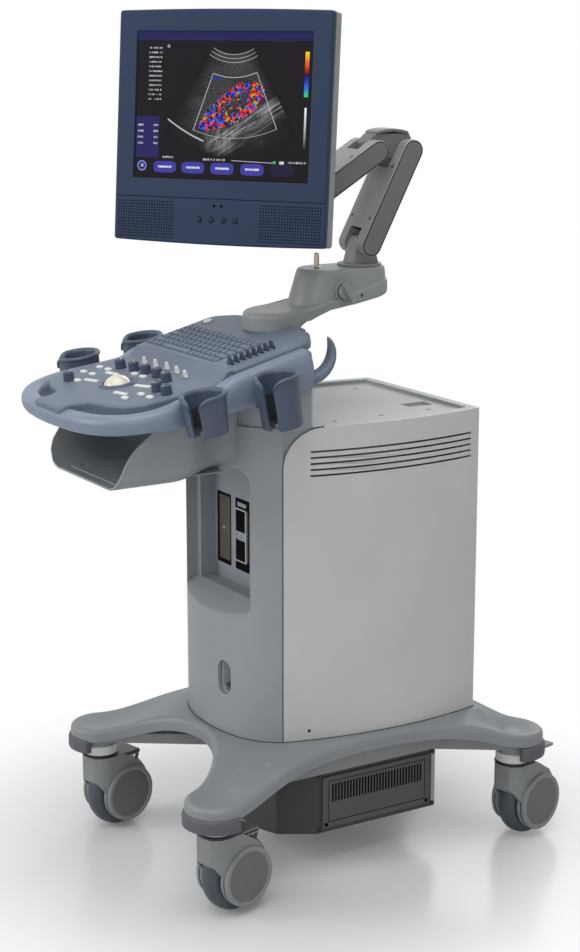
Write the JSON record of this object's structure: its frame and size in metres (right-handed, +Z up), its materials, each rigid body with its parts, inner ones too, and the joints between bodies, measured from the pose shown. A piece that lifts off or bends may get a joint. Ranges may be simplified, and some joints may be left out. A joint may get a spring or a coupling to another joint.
{
  "type": "ultrasound machine",
  "caption": "Cart-mounted ultrasound machine: swivel-caster base, electronics body, tilted console with trackball, probe holders and keyboard, and a flat monitor on a two-link arm.",
  "frame": {"origin": "on the floor at the middle of the overall footprint", "axes": "+Z up, the operator stands on the -Y side, +X to the operator's right"},
  "size_m": [0.516, 0.8663, 1.3973],
  "materials": {
    "base_grey": "satin moulded",
    "frame_white": "powder coat",
    "bumper_dark": "matt",
    "box_dark": "satin paint",
    "grille_dark": "satin paint",
    "screw_black": "black oxide",
    "caster_grey": "satin moulded",
    "tyre_grey": "matt",
    "column_grey": "satin moulded",
    "neck_light": "satin moulded",
    "panel_light": "satin moulded",
    "bay_grey": "satin moulded",
    "port_metal": "zinc and black plastic",
    "chassis_steel": "zinc plated",
    "supply_metal": "bare sheet",
    "fan_black": "matt",
    "tray_grey": "satin moulded",
    "handle_blue": "satin moulded",
    "deck_blue": "fine texture",
    "cup_blue": "satin moulded",
    "key_grey": "satin moulded",
    "key_white": "satin moulded",
    "knob_dark": "soft matt",
    "ball_ivory": "polished",
    "arm_grey": "painted casting",
    "arm_dark": "painted casting",
    "bezel_blue": "fine texture",
    "case_grey": "satin moulded",
    "screen_black": "anti-glare panel",
    "button_black": "matt"
  },
  "bodies": {
    "cart": {"base_frame": "frame_white", "base_cover": "base_grey", "leg_bumpers": "bumper_dark", "transformer_box": "box_dark", "box_grille": "grille_dark", "cover_screws": "screw_black", "front_column": "column_grey", "neck_cover": "neck_light", "connector_bay": "bay_grey", "front_ports": "port_metal", "side_panel_left": "panel_light", "side_panel_right": "panel_light", "top_cover": "panel_light", "rear_cover": "panel_light", "inner_chassis": "chassis_steel", "power_supply": "supply_metal", "storage_tray": "tray_grey", "handle_frame": "handle_blue", "control_deck": "deck_blue", "keyboard_deck": "deck_blue", "probe_holders": "cup_blue", "cable_hook": "cup_blue", "trackball_ring": "cup_blue"},
    "caster_fl": {"caster_fork_fl": "caster_grey"},
    "wheel_fl": {"caster_wheel_fl": "tyre_grey"},
    "caster_fr": {"caster_fork_fr": "caster_grey"},
    "wheel_fr": {"caster_wheel_fr": "tyre_grey"},
    "caster_rl": {"caster_fork_rl": "caster_grey"},
    "wheel_rl": {"caster_wheel_rl": "tyre_grey"},
    "caster_rr": {"caster_fork_rr": "caster_grey"},
    "wheel_rr": {"caster_wheel_rr": "tyre_grey"},
    "pedal_rl": {"brake_pedal_rl": "caster_grey"},
    "pedal_rr": {"brake_pedal_rr": "caster_grey"},
    "fan": {"cooling_fan": "fan_black"},
    "ball": {"trackball": "ball_ivory"},
    "keys": {"keyboard_keys": "key_grey"},
    "buttons": {"control_buttons": "key_white"},
    "power": {"power_button": "key_white"},
    "knob_1_body": {"knob_1": "knob_dark"},
    "knob_2_body": {"knob_2": "knob_dark"},
    "knob_3_body": {"knob_3": "knob_dark"},
    "knob_4_body": {"knob_4": "knob_dark"},
    "knob_5_body": {"knob_5": "knob_dark"},
    "knob_6_body": {"knob_6": "knob_dark"},
    "knob_7_body": {"knob_7": "knob_dark"},
    "knob_8_body": {"knob_8": "knob_dark"},
    "toggles": {"toggle_switches": "key_white"},
    "sliders": {"gain_sliders": "knob_dark"},
    "arm": {"arm_base": "arm_grey"},
    "lock": {"arm_lock_knob": "arm_grey"},
    "turret_body": {"turret": "arm_grey"},
    "lower_link": {"lower_arm": "arm_grey"},
    "elbow": {"elbow_block": "arm_dark"},
    "upper_link": {"upper_arm": "arm_grey"},
    "wrist": {"wrist_block": "arm_dark"},
    "yoke": {"monitor_yoke": "arm_dark"},
    "monitor": {"monitor_case": "case_grey", "monitor_bezel": "bezel_blue", "lcd_panel": "screen_black"},
    "monitor_keys": {"monitor_buttons": "button_black"}
  },
  "joints": [
    {"name": "caster_swivel_fl", "type": "hinge", "parent": "cart", "child": "caster_fl", "pos_m": [-0.204, -0.249, 0.128], "axis": [0, 0, 1], "continuous": true},
    {"name": "wheel_spin_fl", "type": "hinge", "parent": "caster_fl", "child": "wheel_fl", "pos_m": [-0.21255, -0.21197, 0.0625], "axis": [0.9744, 0.225, 0], "continuous": true},
    {"name": "caster_swivel_fr", "type": "hinge", "parent": "cart", "child": "caster_fr", "pos_m": [0.204, -0.249, 0.128], "axis": [0, 0, 1], "continuous": true},
    {"name": "wheel_spin_fr", "type": "hinge", "parent": "caster_fr", "child": "wheel_fr", "pos_m": [0.19545, -0.21197, 0.0625], "axis": [0.9744, 0.225, 0], "continuous": true},
    {"name": "caster_swivel_rl", "type": "hinge", "parent": "cart", "child": "caster_rl", "pos_m": [-0.204, 0.338, 0.128], "axis": [0, 0, 1], "continuous": true},
    {"name": "wheel_spin_rl", "type": "hinge", "parent": "caster_rl", "child": "wheel_rl", "pos_m": [-0.21255, 0.37503, 0.0625], "axis": [0.9744, 0.225, 0], "continuous": true},
    {"name": "caster_swivel_rr", "type": "hinge", "parent": "cart", "child": "caster_rr", "pos_m": [0.204, 0.338, 0.128], "axis": [0, 0, 1], "continuous": true},
    {"name": "wheel_spin_rr", "type": "hinge", "parent": "caster_rr", "child": "wheel_rr", "pos_m": [0.19545, 0.37503, 0.0625], "axis": [0.9744, 0.225, 0], "continuous": true},
    {"name": "brake_press_rl", "type": "hinge", "parent": "caster_rl", "child": "pedal_rl", "pos_m": [-0.213, 0.37698, 0.145], "axis": [-0.9744, -0.225, 0], "range_deg": [0, 12]},
    {"name": "brake_press_rr", "type": "hinge", "parent": "caster_rr", "child": "pedal_rr", "pos_m": [0.195, 0.37698, 0.145], "axis": [-0.9744, -0.225, 0], "range_deg": [0, 12]},
    {"name": "fan_spin", "type": "hinge", "parent": "cart", "child": "fan", "pos_m": [0, 0.25, 0.56], "axis": [0, 1, 0], "continuous": true},
    {"name": "trackball_roll", "type": "hinge", "parent": "cart", "child": "ball", "pos_m": [0, -0.30237, 0.81662], "axis": [1, 0, 0], "continuous": true},
    {"name": "key_press", "type": "slide", "parent": "cart", "child": "keys", "axis": [0, 0.2419, -0.9703], "range_m": [0, 0.002], "stiffness_N_per_m": 400, "springref_m": -0.001},
    {"name": "button_press", "type": "slide", "parent": "cart", "child": "buttons", "axis": [0, 0.1478, -0.989], "range_m": [0, 0.0015], "stiffness_N_per_m": 400, "springref_m": -0.001},
    {"name": "power_press", "type": "slide", "parent": "cart", "child": "power", "axis": [0, 0.2419, -0.9703], "range_m": [0, 0.0015], "stiffness_N_per_m": 300, "springref_m": -0.001},
    {"name": "knob_turn_1", "type": "hinge", "parent": "cart", "child": "knob_1_body", "pos_m": [-0.095, -0.34158, 0.82188], "axis": [0, -0.1478, 0.989], "continuous": true},
    {"name": "knob_turn_2", "type": "hinge", "parent": "cart", "child": "knob_2_body", "pos_m": [-0.087, -0.25356, 0.83504], "axis": [0, -0.1478, 0.989], "continuous": true},
    {"name": "knob_turn_3", "type": "hinge", "parent": "cart", "child": "knob_3_body", "pos_m": [-0.051, -0.24763, 0.83593], "axis": [0, -0.1478, 0.989], "continuous": true},
    {"name": "knob_turn_4", "type": "hinge", "parent": "cart", "child": "knob_4_body", "pos_m": [-0.016, -0.24466, 0.83637], "axis": [0, -0.1478, 0.989], "continuous": true},
    {"name": "knob_turn_5", "type": "hinge", "parent": "cart", "child": "knob_5_body", "pos_m": [0.022, -0.24466, 0.83637], "axis": [0, -0.1478, 0.989], "continuous": true},
    {"name": "knob_turn_6", "type": "hinge", "parent": "cart", "child": "knob_6_body", "pos_m": [0.061, -0.2496, 0.83563], "axis": [0, -0.1478, 0.989], "continuous": true},
    {"name": "knob_turn_7", "type": "hinge", "parent": "cart", "child": "knob_7_body", "pos_m": [0.1, -0.2862, 0.83016], "axis": [0, -0.1478, 0.989], "continuous": true},
    {"name": "knob_turn_8", "type": "hinge", "parent": "cart", "child": "knob_8_body", "pos_m": [0.13, -0.2862, 0.83016], "axis": [0, -0.1478, 0.989], "continuous": true},
    {"name": "toggle_move", "type": "slide", "parent": "cart", "child": "toggles", "axis": [0, 0.989, 0.1478], "range_m": [-0.003, 0.003], "stiffness_N_per_m": 200},
    {"name": "gain_slide", "type": "slide", "parent": "cart", "child": "sliders", "axis": [1, 0, 0], "range_m": [-0.009, 0.009]},
    {"name": "arm_swivel", "type": "hinge", "parent": "cart", "child": "arm", "pos_m": [0, -0.016, 0.9], "axis": [0, 0, 1], "range_deg": [-90, 90]},
    {"name": "lock_turn", "type": "hinge", "parent": "arm", "child": "lock", "pos_m": [0.0498, 0.086, 0.95], "axis": [1, 0, 0], "range_deg": [0, 90]},
    {"name": "turret_swivel", "type": "hinge", "parent": "arm", "child": "turret_body", "pos_m": [0, 0.148, 0.99], "axis": [0, 0, 1], "range_deg": [-90, 90]},
    {"name": "lower_arm_tilt", "type": "hinge", "parent": "turret_body", "child": "lower_link", "pos_m": [0.00014, 0.14899, 1.02], "axis": [0.9903, -0.1392, 0], "range_deg": [-18, 24]},
    {"name": "elbow_level", "type": "hinge", "parent": "lower_link", "child": "elbow", "pos_m": [0.01051, 0.22279, 1.1728], "axis": [0.9903, -0.1392, 0], "range_deg": [-24, 18]},
    {"name": "upper_arm_tilt", "type": "hinge", "parent": "elbow", "child": "upper_link", "pos_m": [0.00188, 0.16139, 1.1728], "axis": [0.9903, -0.1392, 0], "range_deg": [-30, 10]},
    {"name": "wrist_level", "type": "hinge", "parent": "upper_link", "child": "wrist", "pos_m": [-0.01995, 0.00609, 1.07095], "axis": [0.9903, -0.1392, 0], "range_deg": [-10, 30]},
    {"name": "monitor_swivel", "type": "hinge", "parent": "wrist", "child": "yoke", "pos_m": [-0.02496, -0.02956, 1.07095], "axis": [0, 0, 1], "range_deg": [-95, 40]},
    {"name": "monitor_tilt", "type": "hinge", "parent": "yoke", "child": "monitor", "pos_m": [0.0009, -0.06833, 1.1328], "axis": [-0.832, -0.5548, 0], "range_deg": [-10, 15]},
    {"name": "monitor_button_press", "type": "slide", "parent": "monitor", "child": "monitor_keys", "axis": [-0.5522, 0.828, -0.0976], "range_m": [0, 0.0015], "stiffness_N_per_m": 300, "springref_m": -0.001}
  ],
  "couplings": [
    {"joint": "elbow_level", "follows": "lower_arm_tilt", "ratio": -1},
    {"joint": "wrist_level", "follows": "upper_arm_tilt", "ratio": -1}
  ]
}
